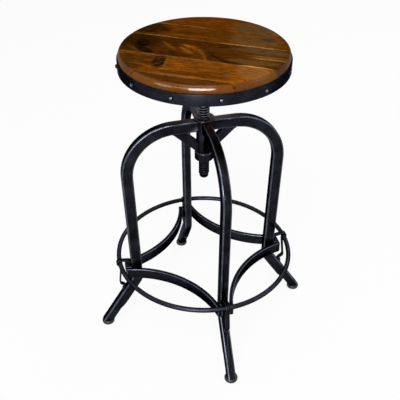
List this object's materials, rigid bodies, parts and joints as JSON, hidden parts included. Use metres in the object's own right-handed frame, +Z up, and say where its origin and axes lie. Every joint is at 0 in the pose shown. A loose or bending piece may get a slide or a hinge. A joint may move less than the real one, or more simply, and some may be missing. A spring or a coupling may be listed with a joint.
{
  "type": "bar stool",
  "caption": "Bar stool with a round banded wooden seat on a lifting screw, bent steel legs, bowed stretchers and a footrest ring; the seat turns to change its height.",
  "frame": {"origin": "on the floor, on the stool's axis", "axes": "+Z up along the lifting screw, +X through leg_right, -Y through leg_front"},
  "size_m": [0.552, 0.552, 0.7381],
  "materials": {
    "frame_paint": "satin black paint on steel",
    "glide": "moulded black",
    "screw_steel": "blackened, oiled",
    "seat_wood": "stained and varnished",
    "band_steel": "dark worn steel",
    "stud_steel": "burnished dome"
  },
  "bodies": {
    "frame": {"hub_tube": "frame_paint", "hub_nut": "frame_paint", "leg_right": "frame_paint", "leg_back": "frame_paint", "leg_left": "frame_paint", "leg_front": "frame_paint", "strut_right": "frame_paint", "strut_back": "frame_paint", "strut_left": "frame_paint", "strut_front": "frame_paint", "stretcher_lug_right": "frame_paint", "stretcher_lug_back": "frame_paint", "stretcher_lug_left": "frame_paint", "stretcher_lug_front": "frame_paint", "ring_clip_right": "frame_paint", "ring_clip_back": "frame_paint", "ring_clip_left": "frame_paint", "ring_clip_front": "frame_paint", "foot_right": "glide", "foot_back": "glide", "foot_left": "glide", "foot_front": "glide", "stretcher_back_right": "frame_paint", "stretcher_back_left": "frame_paint", "stretcher_front_left": "frame_paint", "stretcher_front_right": "frame_paint", "footrest_ring": "frame_paint", "clip_rivets": "frame_paint"},
    "washer": {"hub_washer": "frame_paint"},
    "seat": {"lift_screw": "screw_steel", "seat_plate": "frame_paint", "plate_screws": "screw_steel", "seat_board_1": "seat_wood", "seat_board_2": "seat_wood", "seat_board_3": "seat_wood", "seat_board_4": "seat_wood", "seat_board_5": "seat_wood", "seat_band": "band_steel", "band_studs": "stud_steel"}
  },
  "joints": [
    {"name": "seat_turn", "type": "hinge", "parent": "frame", "child": "washer", "pos_m": [0, 0, 0.572], "axis": [0, 0, 1], "range_deg": [-6300, 2700]},
    {"name": "seat_rise", "type": "slide", "parent": "washer", "child": "seat", "axis": [0, 0, 1], "range_m": [-0.1055, 0.0455]}
  ],
  "couplings": [
    {"joint": "seat_rise", "follows": "seat_turn", "m_per_rad": 0.00095493}
  ]
}
